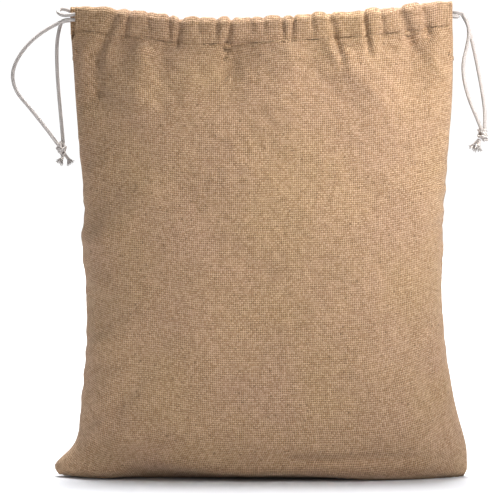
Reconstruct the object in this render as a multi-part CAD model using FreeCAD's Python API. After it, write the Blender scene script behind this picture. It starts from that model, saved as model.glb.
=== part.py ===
# Drawstring gift pouch in jute cloth, millimetres, +Z up. The front faces -Y, with +X to its right.
# The origin is the centre of the base, on the surface that the pouch stands on.
import FreeCAD, Part
import math
import os

V = FreeCAD.Vector

# ---- cloth ---------------------------------------------------------------------------------
cloth = 1.2              # thickness of the jute
seam_allowance = 12.0    # cloth turned inside at the side and bottom seams
seam_corner = 3.0        # wall thickness across the folded side edge

# ---- body: (height, left half width, right half width, half depth, squareness, roundness) ---
levels = [
    (0.0, 197.0, 197.5, 45.0, 2.6, 0.80),
    (9.0, 200.5, 200.5, 50.0, 2.7, 0.74),
    (30.0, 183.0, 199.5, 55.0, 2.7, 0.62),
    (60.0, 176.5, 191.0, 57.5, 2.7, 0.55),
    (95.0, 174.0, 184.0, 59.0, 2.7, 0.52),
    (140.0, 169.0, 177.0, 59.5, 2.7, 0.50),
    (200.0, 171.0, 175.0, 58.0, 2.6, 0.50),
    (280.0, 172.5, 178.0, 52.0, 2.5, 0.50),
    (350.0, 178.0, 183.5, 41.0, 2.4, 0.47),
    (405.0, 183.0, 185.0, 30.0, 2.2, 0.43),
    (470.0, 183.0, 185.0, 27.5, 2.2, 0.41),
]

# ---- mouth and casing ------------------------------------------------------------------------
rim_low = 444.0          # height of the mouth's edge at its middle
rim_rise_left = 12.0     # how much higher the edge is at the left corner
rim_rise_right = 16.5    # and at the right corner
mouth_half = 184.0       # half width that the casing's curve is set out on
casing_depth = 26.0      # the folded hem, from its edge to its stitch line
tunnel_gap = 5.0         # room for the cords between the hem's two layers
mouth_end_y = 9.7        # outer face of the casing from the middle plane, at the corners
mouth_sag = 18.0         # how much further out that face is at the middle
casing_ends = {"front": (-178.0, 183.5), "back": (-183.0, 181.5)}
slit_bottom = 410.0      # the side seams stop here and leave a slit for the cords
slit_half_width = 4.0

# ---- cords -----------------------------------------------------------------------------------
cord_diameter = 3.6
cord_radius = cord_diameter / 2
cord_offset_y = 6.0      # a cord leaves a tunnel this far from the middle plane
upper_cord_drop = 6.5    # the cord knotted on the right, below the mouth's edge
lower_cord_drop = 11.5   # the cord knotted on the left
joint_gap = 0.3          # between a strand's round end and the cord that it turns on
left_turn = (-194.0, 440.5)     # X and Z of the line that each loop swings about
right_turn = (195.0, 448.8)
knot_width = 12.0
knot_height = 9.6

# ---- thread ----------------------------------------------------------------------------------
thread_radius = 0.4
stitch_pitch = 5.0
stitch_length = 3.6
overlock_pitch = 8.0

out_dir = "parts"


# ---- helpers ---------------------------------------------------------------------------------
def spline(points):
    curve = Part.BSplineCurve()
    curve.interpolate(points)
    return curve.toShape()


def y_sign(side):
    """-1 for the front, which faces -Y, and 1 for the back."""
    return -1.0 if side == "front" else 1.0


def wall_curve(level, side, chord, inset_x, inset_y):
    """The wall's line at one level, from the left seam to the right one, above a chord plane."""
    height, left, right, depth, squareness, roundness = level
    points = []
    steps = 20
    for step in range(steps + 1):
        s = -1 + 2 * step / steps
        across = math.sin(math.pi / 2 * s)
        half = (left if s < 0 else right) - inset_x
        bulge = max(0.0, 1 - abs(across) ** squareness) ** roundness
        y = chord + (depth - inset_y - chord) * bulge
        points.append(V(across * half, y_sign(side) * y, height))
    return points


def half_bag(side, chord, inset_x, inset_y, floor):
    """The solid between the wall and a plane beside the seams; its lowest level is at floor."""
    wires = []
    for level in levels:
        if level[0] < floor:
            level = (floor,) + level[1:]
        points = wall_curve(level, side, chord, inset_x, inset_y)
        wires.append(Part.Wire([spline(points), Part.makeLine(points[-1], points[0])]))
    return Part.makeLoft(wires, True, False)


def half_width(height, index):
    """The left (1) or right (2) half width at a height, along straight lines between levels."""
    for low, high in zip(levels, levels[1:]):
        if low[0] <= height <= high[0]:
            part = (height - low[0]) / (high[0] - low[0])
            return low[index] + part * (high[index] - low[index])
    return levels[-1][index]


def rim_height(x):
    rise = rim_rise_left if x < 0 else rim_rise_right
    return rim_low + rise * (x / mouth_half) ** 2


def rim_line(drop):
    reach = mouth_half + 30
    xs = [reach * (step / 6 - 1) for step in range(13)]
    return [V(x, 0, rim_height(x) - drop) for x in xs]


def rim_band(top_drop, bottom_drop, extra=0.0):
    """Everything between two lines that follow the mouth's edge, over the whole depth."""
    top = rim_line(top_drop)
    bottom = rim_line(bottom_drop)
    if extra:
        top = [V(-230, 0, extra), V(230, 0, extra)]
        top_edge = Part.makeLine(*top)
    else:
        top_edge = spline(top)
    wire = Part.Wire([spline(bottom), Part.makeLine(bottom[-1], top[-1]), top_edge,
                      Part.makeLine(top[0], bottom[0])])
    face = Part.Face(wire)
    face.translate(V(0, -120, 0))
    return face.extrude(V(0, 240, 0))


mouth_radius = (mouth_half ** 2 + mouth_sag ** 2) / (2 * mouth_sag)


def mouth_y(x, inward):
    """Distance of the casing's curve from the middle plane, a depth inward from its outer face."""
    radius = mouth_radius - inward
    centre = mouth_end_y + mouth_sag - mouth_radius
    return centre + math.sqrt(radius ** 2 - x ** 2)


def mouth_prism(side, outer, inner, start, end):
    """A wall that follows the mouth in plan, between two depths inward."""
    sign = y_sign(side)

    def at(x, inward):
        return V(x, sign * mouth_y(x, inward), 380)

    outside = Part.Arc(at(start, outer), at((start + end) / 2, outer), at(end, outer)).toShape()
    inside = Part.Arc(at(start, inner), at((start + end) / 2, inner), at(end, inner)).toShape()
    wire = Part.Wire([outside, Part.makeLine(at(end, outer), at(end, inner)), inside,
                      Part.makeLine(at(start, inner), at(start, outer))])
    return Part.Face(wire).extrude(V(0, 0, 120))


def tube(points, radius, round_start=False):
    """A cord along straight runs joined by tangent arcs; prints its tightest radius."""
    edges = []
    radii = []
    start = points[0]
    for before, corner, after in zip(points, points[1:], points[2:]):
        back = before - corner
        ahead = after - corner
        turn = math.pi - back.getAngle(ahead)
        reach = 0.45 * min(back.Length, ahead.Length)
        bend = reach / math.tan(turn / 2)
        radii.append(bend)
        back.normalize()
        ahead.normalize()
        first = corner + back * reach
        last = corner + ahead * reach
        middle = (back + ahead).normalize()
        middle = corner + middle * (math.hypot(reach, bend) - bend)
        edges.append(Part.LineSegment(start, first).toShape())
        edges.append(Part.Arc(first, middle, last).toShape())
        start = last
    edges.append(Part.LineSegment(start, points[-1]).toShape())
    path = Part.Wire(edges)
    ring = Part.Wire(Part.makeCircle(radius, points[0], points[1] - points[0]))
    solid = path.makePipeShell([ring], True, False)
    expected = math.pi * radius ** 2 * path.Length
    print(f"  tube {path.Length:.1f} mm, radii {min(radii):.1f} to {max(radii):.1f} mm, "
          f"volume {solid.Volume / expected:.4f} of its section times its length")
    if round_start:
        solid = solid.fuse(Part.makeSphere(radius, points[0])).removeSplitter()
    return solid


def stitch(centre, direction, length=stitch_length):
    unit = V(direction).normalize()
    return Part.makeCylinder(thread_radius, length, centre - unit * (length / 2), unit)


def save(name, *solids):
    shape = solids[0] if len(solids) == 1 else Part.makeCompound(list(solids))
    shape.exportStep(os.path.join(out_dir, name + ".step"))
    print(f"{name}: {len(shape.Solids)} solids, valid {shape.isValid()}, {shape.Volume:.0f} mm3")


# ---- panels ----------------------------------------------------------------------------------
def panel(side):
    """One face of the pouch with its half of the base and its seam allowances inside."""
    sign = y_sign(side)
    wall = half_bag(side, 0.0, 0.0, 0.0, 0.0)
    room = half_bag(side, cloth, seam_corner, cloth, cloth)
    inner = seam_corner + seam_allowance
    heights = [cloth + seam_allowance] + [level[0] for level in levels[3:9]] + [slit_bottom]
    left = [V(-(half_width(z, 1) - inner), 0, z) for z in heights]
    right = [V(half_width(z, 2) - inner, 0, z) for z in heights]
    shoulders = [V(230, 0, slit_bottom), V(230, 0, 480), V(-230, 0, 480), V(-230, 0, slit_bottom)]
    outline = [Part.makeLine(left[0], right[0]), spline(right)]
    corners = [right[-1]] + shoulders + [left[-1]]
    outline += [Part.makeLine(a, b) for a, b in zip(corners, corners[1:])]
    outline.append(spline(left[::-1]))
    seam_plane = Part.Face(Part.Wire(outline))
    seam_plane.translate(V(0, -0.1 * sign, 0))
    between = seam_plane.extrude(V(0, sign * (cloth + 0.2), 0))
    slits = Part.makeBox(460, 2 * slit_half_width, 80, V(-230, -slit_half_width, slit_bottom))
    return wall.cut(room).cut(between).cut(slits).cut(rim_band(0, casing_depth, 520.0))


def casing(side):
    """The folded hem: an outer and an inner layer with a tunnel between, open at both ends."""
    start, end = casing_ends[side]
    thickness = tunnel_gap + 2 * cloth
    hem = mouth_prism(side, 0, thickness, start, end).common(rim_band(0, casing_depth))
    tunnel = mouth_prism(side, cloth, cloth + tunnel_gap, start - 3, end + 3)
    tunnel = tunnel.common(rim_band(cloth, casing_depth - cloth))
    return hem.cut(tunnel)


# ---- thread ----------------------------------------------------------------------------------
def casing_stitches(side):
    start, end = casing_ends[side]
    sign = y_sign(side)
    solids = []
    count = int((end - start - 10) / stitch_pitch)
    for index in range(count + 1):
        x = start + 5 + index * stitch_pitch
        for inward in (0.0, tunnel_gap + 2 * cloth):
            here = V(x, sign * mouth_y(x, inward), rim_height(x) - casing_depth + 2.2)
            beyond = V(x + 1, sign * mouth_y(x + 1, inward), rim_height(x + 1) - casing_depth + 2.2)
            solids.append(stitch(here, beyond - here))
    return solids


def slit_stitches(index):
    """The rows that hold the turned edges of the slit, on the front and the back casing."""
    solids = []
    for side in ("front", "back"):
        end = casing_ends[side][index]
        x = end + 6 if index == 0 else end - 6
        for row in range(4):
            z = rim_height(x) - casing_depth + 6 + row * stitch_pitch
            y = y_sign(side) * mouth_y(x, 0.0)
            solids.append(stitch(V(x, y, z), V(0, 0, 1)))
    return solids


def seam_stitches(index):
    sign = -1 if index == 1 else 1
    solids = []
    count = int((slit_bottom - 30) / (stitch_pitch + 1))
    for step in range(count):
        z = 24 + step * (stitch_pitch + 1)
        x = sign * (half_width(z, index) - seam_corner - 3)
        x_above = sign * (half_width(z + 1, index) - seam_corner - 3)
        for y in (-cloth, cloth):
            solids.append(stitch(V(x, y, z), V(x_above - x, 0, 1), stitch_length + 1))
    return solids


def bottom_stitches():
    solids = []
    count = int(360 / (stitch_pitch + 1))
    for step in range(count + 1):
        x = -180 + step * (stitch_pitch + 1)
        for y in (-cloth, cloth):
            solids.append(stitch(V(x, y, cloth + 3), V(1, 0, 0), stitch_length + 1))
    return solids


def thread_loop(edge, along, inward):
    """A loop of overlock thread round the two raw edges of a seam allowance."""
    ring = Part.makeTorus(cloth + thread_radius + 0.05, thread_radius, V(0, 0, 0), V(0, 0, 1),
                          -180, 180, 180)
    turned = FreeCAD.Placement(V(0, 0, 0), FreeCAD.Rotation(V(0, 1, 0), V(0, 0, 1), along))
    outward = turned.multVec(V(0, 1, 0))
    facing = FreeCAD.Placement(V(0, 0, 0), FreeCAD.Rotation(outward, inward))
    ring.Placement = facing.multiply(turned)
    ring.translate(edge)
    return ring


def seam_overlock(index):
    sign = -1 if index == 1 else 1
    solids = []
    count = int((slit_bottom - 40) / overlock_pitch)
    for step in range(count):
        z = 30 + step * overlock_pitch
        x = sign * (half_width(z, index) - seam_corner - seam_allowance)
        solids.append(thread_loop(V(x, 0, z), V(0, 0, 1), V(-sign, 0, 0)))
    return solids


def bottom_overlock():
    solids = []
    count = int(330 / overlock_pitch)
    for step in range(count + 1):
        x = -165 + step * overlock_pitch
        solids.append(thread_loop(V(x, 0, cloth + seam_allowance), V(1, 0, 0), V(0, 0, 1)))
    return solids


def bartack(index):
    """The few close threads across the seam that stop it from opening under the slit."""
    sign = -1 if index == 1 else 1
    solids = []
    for row in range(4):
        z = slit_bottom - 2 - row * 1.1
        x = sign * (half_width(z, index) + thread_radius / 2)
        solids.append(stitch(V(x, 0, z), V(0, 1, 0), 5.0))
    return solids


# ---- cords -----------------------------------------------------------------------------------
def tunnel_points(side, drop, xs):
    middle = cloth + tunnel_gap / 2
    sign = y_sign(side)
    return [V(x, sign * mouth_y(x, middle), rim_height(x) - drop) for x in xs]


tunnel_stations = [-160, -112, -60, -8, 44, 94, 136, 162, 178]


def left_drawcord():
    """Through the front tunnel from the left, round at the right slit, and back behind."""
    x, z = left_turn
    stop = x + cord_radius + joint_gap
    front_exit = [V(stop, -cord_offset_y, z + 1.2), V(-186.5, -cord_offset_y - 0.2, z + 3.5)]
    back_exit = [V(p.x, -p.y, p.z) for p in front_exit[::-1]]
    front = tunnel_points("front", lower_cord_drop, tunnel_stations)
    back = tunnel_points("back", lower_cord_drop, tunnel_stations[::-1])
    bight = [V(190.0, -5.5, 446.6), V(190.6, 5.5, 446.2)]
    return tube(front_exit + front + bight + back + back_exit, cord_radius)


def right_drawcord():
    """The same from the right; its far end stands out of the left slit as a small loop."""
    x, z = right_turn
    stop = x - cord_radius - joint_gap
    front_exit = [V(stop, -cord_offset_y, z + 1.2), V(187.0, -cord_offset_y - 0.2, z + 4.0)]
    back_exit = [V(p.x, -p.y, p.z) for p in front_exit[::-1]]
    stations = [-station for station in tunnel_stations]
    front = tunnel_points("front", upper_cord_drop, stations)
    back = tunnel_points("back", upper_cord_drop, stations[::-1])
    bight = [V(-195.4, -5.6, 450.4), V(-195.8, 5.6, 453.6)]
    return tube(front_exit + front + bight + back + back_exit, cord_radius)


# Each free strand, from its turning line to its knot.
strand_routes = {
    "left_front_strand": [
        (-194.0, -6.0, 440.5), (-204.5, -6.6, 436.6), (-220.0, -7.6, 428.0), (-235.0, -8.6, 412.5),
        (-244.0, -8.8, 392.5), (-240.5, -7.6, 374.5), (-226.5, -6.0, 358.0), (-212.5, -4.6, 341.5),
        (-202.5, -3.4, 330.0), (-198.0, -2.8, 324.6),
    ],
    "left_back_strand": [
        (-194.0, 6.0, 440.5), (-198.2, 6.0, 432.6), (-200.6, 5.6, 417.0), (-199.8, 5.2, 391.0),
        (-197.2, 4.4, 364.0), (-194.4, 3.2, 341.0), (-192.4, 2.0, 325.4),
    ],
    "right_front_strand": [
        (195.0, -6.0, 448.8), (200.6, -6.2, 440.6), (202.4, -6.0, 429.0), (198.8, -5.4, 415.2),
        (195.0, -5.0, 402.0), (195.6, -4.8, 387.0), (199.6, -4.4, 371.0), (205.4, -3.8, 356.0),
        (210.2, -3.0, 345.6), (212.8, -2.4, 338.6),
    ],
    "right_back_strand": [
        (195.0, 6.0, 448.8), (199.8, 6.0, 441.4), (203.6, 5.8, 428.0), (209.0, 5.4, 404.0),
        (213.6, 4.6, 380.0), (216.6, 3.6, 361.0), (217.4, 2.8, 347.6), (216.8, 2.4, 338.4),
    ],
}

# Each knot's middle, and the ends of the two tails that leave it.
knots = {
    "left": ((-193.0, 0.0, 318.6), [((-191.4, -2.1, 312.6), (-190.4, -2.6, 310.0), (-193.6, -3.4, 305.2)),
                                    ((-189.6, 2.1, 312.6), (-187.0, 2.6, 310.2), (-183.6, 3.6, 306.2))]),
    "right": ((214.8, 0.0, 332.0), [((210.8, -2.1, 326.4), (209.0, -2.6, 323.8), (207.6, -3.4, 318.6)),
                                    ((209.0, 2.1, 327.4), (206.0, 2.6, 325.2), (203.4, 3.6, 320.4))]),
}


def knot(centre):
    """A round overhand knot, as one closed body of its outer shape."""
    low = V(2.6, 0, -knot_height / 2)
    middle = V(knot_width / 2, 0, 0)
    high = V(2.6, 0, knot_height / 2)
    outline = Part.Wire([Part.Arc(low, middle, high).toShape(),
                         Part.makeLine(high, V(0, 0, high.z)),
                         Part.makeLine(V(0, 0, high.z), V(0, 0, low.z)),
                         Part.makeLine(V(0, 0, low.z), low)])
    solid = Part.Face(outline).revolve(V(0, 0, 0), V(0, 0, 1), 360)
    solid.translate(V(*centre))
    return solid


def make_all():
    os.makedirs(out_dir, exist_ok=True)
    for side in ("front", "back"):
        save(side + "_panel", panel(side))
        save(side + "_casing", casing(side))
        save(side + "_casing_stitches", *casing_stitches(side))
    for name, index in (("left", 1), ("right", 2)):
        save(name + "_seam_stitches", *seam_stitches(index))
        save(name + "_overlock", *seam_overlock(index))
        save(name + "_bartack", *bartack(index))
        save(name + "_slit_stitches", *slit_stitches(index - 1))
    save("bottom_seam_stitches", *bottom_stitches())
    save("bottom_overlock", *bottom_overlock())
    save("left_drawcord", left_drawcord())
    save("right_drawcord", right_drawcord())
    for name, route in strand_routes.items():
        save(name, tube([V(*point) for point in route], cord_radius, round_start=True))
    for name, (centre, tails) in knots.items():
        body = knot(centre)
        save(name + "_knot", body)
        for side, route in zip(("front", "back"), tails):
            tail = tube([V(*point) for point in route], cord_radius)
            save(f"{name}_{side}_tail", tail.cut(body))


make_all()
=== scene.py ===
import math

import bpy
import numpy as np
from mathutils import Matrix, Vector


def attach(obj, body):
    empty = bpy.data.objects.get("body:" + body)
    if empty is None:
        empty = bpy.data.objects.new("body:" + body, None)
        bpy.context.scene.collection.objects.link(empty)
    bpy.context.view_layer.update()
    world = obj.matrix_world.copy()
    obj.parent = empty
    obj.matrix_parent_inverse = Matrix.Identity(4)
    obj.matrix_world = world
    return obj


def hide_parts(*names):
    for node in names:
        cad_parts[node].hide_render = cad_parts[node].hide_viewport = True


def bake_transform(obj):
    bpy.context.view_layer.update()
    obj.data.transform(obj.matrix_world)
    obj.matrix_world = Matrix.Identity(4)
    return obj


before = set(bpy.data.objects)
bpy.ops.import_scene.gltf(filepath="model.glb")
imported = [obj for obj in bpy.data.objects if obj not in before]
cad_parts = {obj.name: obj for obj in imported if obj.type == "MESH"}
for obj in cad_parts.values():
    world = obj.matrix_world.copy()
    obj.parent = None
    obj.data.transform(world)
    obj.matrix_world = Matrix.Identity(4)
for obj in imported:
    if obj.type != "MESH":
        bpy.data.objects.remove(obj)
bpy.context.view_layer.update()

bpy.ops.object.select_all(action="DESELECT")

# ---- Camera, lights and floor ----------------------------------------------------------------
# The pouch is looked at level and square from the front, a long way off, in soft studio light
# that comes from the upper right, on a white floor that glows with painted light away from the pouch and
# runs back into a bright white room.
mm = 0.001
scene = bpy.context.scene
scene.view_settings.view_transform = "Standard"

view_width = 0.485
view_centre = Vector((-0.0107, 0.0, 0.2205))
view_distance = 2.4
camera_rise = 0.085
camera_data = bpy.data.cameras.new("camera")
camera_data.sensor_width = 36.0
camera_data.lens = 36.0 * view_distance / view_width
camera_data.clip_end = 50.0
camera = bpy.data.objects.new("camera", camera_data)
scene.collection.objects.link(camera)
camera.location = view_centre + Vector((0.0, -view_distance, camera_rise))
camera.rotation_euler = (view_centre - camera.location).to_track_quat("-Z", "Y").to_euler()
scene.camera = camera


def area_light(name, place, aim, size, power, colour, spread=180.0):
    data = bpy.data.lights.new(name, "AREA")
    data.spread = math.radians(spread)
    data.shape = "DISK"
    data.size = size
    data.energy = power
    data.color = colour
    lamp = bpy.data.objects.new(name, data)
    scene.collection.objects.link(lamp)
    lamp.location = place
    lamp.rotation_euler = (Vector(aim) - Vector(place)).to_track_quat("-Z", "Y").to_euler()


area_light("key", (0.74, -0.60, 0.88), (0.15, 0.0, 0.345), 0.30, 0.90, (1.0, 0.985, 0.96), spread=40.0)
area_light("fill", (-1.1, -1.5, 0.75), (0.0, 0.0, 0.25), 0.9, 1.0, (0.97, 0.985, 1.0))
area_light("overhead", (0.0, 0.27, 2.0), (0.0, 0.2, 0.0), 0.6, 62.0, (1.0, 1.0, 1.0))
area_light("backdrop", (0.0, 3.7, 3.2), (0.0, 4.0, 0.0), 6.0, 215.0, (1.0, 1.0, 1.0), spread=100.0)

def wire(tree, kind, **values):
    """A node of a kind, with its settings and constant inputs given by name."""
    node = tree.nodes.new(kind)
    for key, value in values.items():
        if key in node.inputs:
            node.inputs[key].default_value = value
        else:
            setattr(node, key, value)
    return node


def maths(tree, operation, first, second=None):
    """A Math node; each input is a number or the socket that feeds it."""
    node = tree.nodes.new("ShaderNodeMath")
    node.operation = operation
    for socket, value in zip(node.inputs, (first, second)):
        if value is None:
            continue
        if isinstance(value, (int, float)):
            socket.default_value = value
        else:
            tree.links.new(value, socket)
    return node.outputs[0]


def blended(tree, share, first, second, mode="MIX"):
    """A colour mix; each input is a colour or the socket that feeds it."""
    node = tree.nodes.new("ShaderNodeMix")
    node.data_type = "RGBA"
    node.blend_type = mode
    for socket, value in ((node.inputs[0], share), (node.inputs[6], first), (node.inputs[7], second)):
        if isinstance(value, bpy.types.NodeSocket):
            tree.links.new(value, socket)
        else:
            socket.default_value = value
    return node.outputs[2]


def mapped(tree, value, low, high, to_low=0.0, to_high=1.0):
    """A value's place between two limits, set out between two others and held to them."""
    node = wire(tree, "ShaderNodeMapRange", **{"From Min": low, "From Max": high,
                                               "To Min": to_low, "To Max": to_high})
    tree.links.new(value, node.inputs["Value"])
    return node.outputs[0]


world = bpy.data.worlds.new("studio")
world.use_nodes = True
sky = world.node_tree
looking = wire(sky, "ShaderNodeTexCoord")
direction = wire(sky, "ShaderNodeSeparateXYZ")
sky.links.new(looking.outputs["Generated"], direction.inputs[0])
toward_back = mapped(sky, direction.outputs["Y"], 0.80, 0.98, 0.31, 1.06)
seen = wire(sky, "ShaderNodeLightPath")
brightness = maths(sky, "MAXIMUM", toward_back, seen.outputs["Is Camera Ray"])
sky.links.new(brightness, sky.nodes["Background"].inputs["Strength"])
sky.nodes["Background"].inputs["Color"].default_value = (1.0, 1.0, 1.0, 1.0)
scene.world = world

floor_back = {"half_width": 1.3, "reach": 6.6}
floor_front = {"half_width": 0.95, "reach": 0.95}
bpy.ops.mesh.primitive_plane_add(size=2.0, location=(0.0, 0.0, 0.0))
floor = bpy.context.object
floor.name = "floor"
for corner in floor.data.vertices:
    end = floor_back if corner.co.y > 0 else floor_front
    corner.co.x *= end["half_width"]
    corner.co.y *= end["reach"]
white = bpy.data.materials.new("white_floor")
white.use_nodes = True
paint = white.node_tree
matt = paint.nodes["Principled BSDF"]
matt.inputs["Base Color"].default_value = (0.73, 0.745, 0.785, 1)
matt.inputs["Roughness"].default_value = 0.8
matt.inputs["Emission Color"].default_value = (1, 1, 1, 1)
# Painted light: the floor glows, from nothing near the pouch up to 0.45 at 0.95 m out, so that the far
# floor stays white.
on_floor = wire(paint, "ShaderNodeTexCoord")
from_pouch = wire(paint, "ShaderNodeVectorMath", operation="LENGTH")
paint.links.new(on_floor.outputs["Object"], from_pouch.inputs[0])
glow = mapped(paint, from_pouch.outputs["Value"], 0.35, 0.95, 0.0, 0.45)
paint.links.new(glow, matt.inputs["Emission Strength"])
floor.data.materials.append(white)


# ---- Free strands of the drawcords -----------------------------------------------------------
# Each drawcord is 3.6 mm braided cotton. Its two ends leave one slit of the pouch side by side
# and hang in a loose bow down to the knot that joins them.
cord_radius = 1.8 * mm
strand_routes = {
    "left_front_strand": [
        (-194.0, -6.0, 440.5), (-203.6, -6.6, 435.8), (-218.0, -7.6, 426.2), (-232.2, -8.6, 411.0),
        (-241.0, -8.8, 392.0), (-237.2, -7.6, 374.0), (-223.4, -6.0, 358.0), (-210.4, -4.6, 341.5),
        (-201.8, -3.4, 330.0), (-198.0, -2.8, 324.6),
    ],
    "left_back_strand": [
        (-194.0, 6.0, 440.5), (-196.6, 6.0, 432.2), (-198.4, 5.6, 417.0), (-197.8, 5.2, 391.0),
        (-195.6, 4.4, 364.0), (-193.4, 3.2, 341.0), (-192.0, 2.0, 325.4),
    ],
    "right_front_strand": [
        (195.0, -6.0, 448.8), (199.4, -6.2, 441.0), (201.0, -6.0, 429.0), (198.4, -5.4, 415.2),
        (195.0, -5.0, 402.0), (195.6, -4.8, 387.0), (199.6, -4.4, 371.0), (205.4, -3.8, 356.0),
        (210.2, -3.0, 345.6), (212.8, -2.4, 338.6),
    ],
    "right_back_strand": [
        (195.0, 6.0, 448.8), (199.8, 6.0, 441.4), (203.6, 5.8, 428.0), (209.0, 5.4, 404.0),
        (213.6, 4.6, 380.0), (216.6, 3.6, 361.0), (217.4, 2.8, 347.6), (216.8, 2.4, 338.4),
    ],
}
turning_points = {"left": (-194.0 * mm, 0.0, 440.5 * mm), "right": (195.0 * mm, 0.0, 448.8 * mm)}
knot_centres = {"left": (-193.0 * mm, 0.0, 318.6 * mm), "right": (214.8 * mm, 0.0, 332.0 * mm)}


def smooth_line(points, resolution=10):
    """The points of a smooth curve that follows a route, in metres, close together."""
    curve = bpy.data.curves.new("route", "CURVE")
    curve.dimensions = "3D"
    spline = curve.splines.new("NURBS")
    spline.points.add(len(points) - 1)
    for node, place in zip(spline.points, points):
        node.co = (place[0], place[1], place[2], 1.0)
    spline.order_u = 3
    spline.use_endpoint_u = True
    spline.resolution_u = resolution
    holder = bpy.data.objects.new("route", curve)
    mesh = bpy.data.meshes.new_from_object(holder)
    line = np.array([v.co[:] for v in mesh.vertices])
    bpy.data.objects.remove(holder)
    bpy.data.curves.remove(curve)
    bpy.data.meshes.remove(mesh)
    return line


def even_line(line, step):
    """The same line with its points an even step apart."""
    along = np.concatenate([[0.0], np.cumsum(np.linalg.norm(np.diff(line, axis=0), axis=1))])
    places = np.linspace(0.0, along[-1], max(3, int(round(along[-1] / step)) + 1))
    return np.stack([np.interp(places, along, line[:, k]) for k in range(3)], axis=1)


def frames_along(line):
    """Tangent, and two directions across, that turn as little as possible along a line."""
    tangents = np.gradient(line, axis=0)
    tangents /= np.linalg.norm(tangents, axis=1)[:, None]
    start = np.array([0.0, 1.0, 0.0]) if abs(tangents[0][1]) < 0.9 else np.array([1.0, 0.0, 0.0])
    across = [start - tangents[0] * (start @ tangents[0])]
    across[0] /= np.linalg.norm(across[0])
    for tangent in tangents[1:]:
        following = across[-1] - tangent * (across[-1] @ tangent)
        across.append(following / np.linalg.norm(following))
    across = np.array(across)
    return tangents, across, np.cross(tangents, across)


def tube_mesh(name, lines, radii, sides, round_ends=True):
    """One mesh of closed tubes along lines. Its UV map runs round a tube and, in mm, along it."""
    points = []
    faces = []
    uvs = []
    for line, radius in zip(lines, radii):
        radius = np.broadcast_to(radius, len(line)).astype(float)
        line = np.asarray(line, float)
        if round_ends:
            tangents = np.gradient(line, axis=0)
            tangents /= np.linalg.norm(tangents, axis=1)[:, None]
            cap = np.array([0.97, 0.75, 0.42])
            before = line[0] - np.outer(cap * radius[0], tangents[0])
            after = line[-1] + np.outer(cap[::-1] * radius[-1], tangents[-1])
            narrowing = np.sqrt(1 - cap ** 2)
            line = np.concatenate([before, line, after])
            radius = np.concatenate([narrowing * radius[0], radius, narrowing[::-1] * radius[-1]])
        _, first, second = frames_along(line)
        along = np.concatenate([[0.0], np.cumsum(np.linalg.norm(np.diff(line, axis=0), axis=1))])
        base = len(points)
        rings = len(line)
        for ring in range(rings):
            for side in range(sides):
                turn = 2 * math.pi * side / sides
                out = math.cos(turn) * first[ring] + math.sin(turn) * second[ring]
                points.append(line[ring] + radius[ring] * out)
        for ring in range(rings - 1):
            for side in range(sides):
                beside = (side + 1) % sides
                a = base + ring * sides
                b = a + sides
                faces.append((a + side, a + beside, b + beside, b + side))
                low, high = along[ring] * 1000, along[ring + 1] * 1000
                u, w = side / sides, (side + 1) / sides
                uvs += [(u, low), (w, low), (w, high), (u, high)]
        for ring, order in ((0, -1), (rings - 1, 1)):
            faces.append(tuple(base + ring * sides + side for side in range(sides))[::order])
            uvs += [(side / sides, along[ring] * 1000) for side in range(sides)]
    mesh = bpy.data.meshes.new(name)
    mesh.from_pydata([tuple(p) for p in points], [], faces)
    layer = mesh.uv_layers.new(name="lay")
    layer.data.foreach_set("uv", np.array(uvs, np.float32).ravel())
    mesh.polygons.foreach_set("use_smooth", [True] * len(mesh.polygons))
    mesh.update()
    piece = bpy.data.objects.new(name, mesh)
    scene.collection.objects.link(piece)
    return piece


def cotton_finish():
    """Unbleached braided cotton: close crossing plaits, soft grooves between them with painted shade in
    them, dull.
    """
    material = bpy.data.materials.new("braided_cotton")
    material.use_nodes = True
    tree = material.node_tree
    shader = tree.nodes["Principled BSDF"]
    shader.inputs["Roughness"].default_value = 0.92
    shader.inputs["Sheen Weight"].default_value = 0.25
    shader.inputs["Sheen Roughness"].default_value = 0.5
    lay = wire(tree, "ShaderNodeUVMap", uv_map="lay")
    split = tree.nodes.new("ShaderNodeSeparateXYZ")
    tree.links.new(lay.outputs[0], split.inputs[0])
    around = maths(tree, "MULTIPLY", split.outputs["X"], 2 * math.pi * 4)
    along = maths(tree, "MULTIPLY", split.outputs["Y"], 2 * math.pi / 3.4)
    one = maths(tree, "SINE", maths(tree, "ADD", around, along))
    other = maths(tree, "SINE", maths(tree, "SUBTRACT", around, along))
    plaits = maths(tree, "MULTIPLY", one, other)
    place = tree.nodes.new("ShaderNodeTexCoord")
    fibres = wire(tree, "ShaderNodeTexNoise", Scale=900.0, Detail=3.0)
    tree.links.new(place.outputs["Object"], fibres.inputs["Vector"])
    patches = wire(tree, "ShaderNodeTexNoise", Scale=70.0, Detail=2.0)
    tree.links.new(place.outputs["Object"], patches.inputs["Vector"])
    height = maths(tree, "ADD", maths(tree, "MULTIPLY", plaits, 0.5),
                   maths(tree, "MULTIPLY", fibres.outputs["Fac"], 0.6))
    bump = wire(tree, "ShaderNodeBump", Strength=0.55, Distance=0.0004)
    tree.links.new(height, bump.inputs["Height"])
    tree.links.new(bump.outputs[0], shader.inputs["Normal"])
    tone = blended(tree, patches.outputs["Fac"], (0.57, 0.53, 0.505, 1), (0.52, 0.475, 0.455, 1))
    # Painted shade: the cotton's colour is darkened in the grooves between the plaits.
    painted_groove_shade = maths(tree, "MULTIPLY", maths(tree, "ADD", plaits, 1.0), 0.5)
    colour = blended(tree, painted_groove_shade, (0.86, 0.84, 0.82, 1), (1, 1, 1, 1))
    tree.links.new(blended(tree, 1.0, tone, colour, "MULTIPLY"), shader.inputs["Base Color"])
    return material


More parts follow.
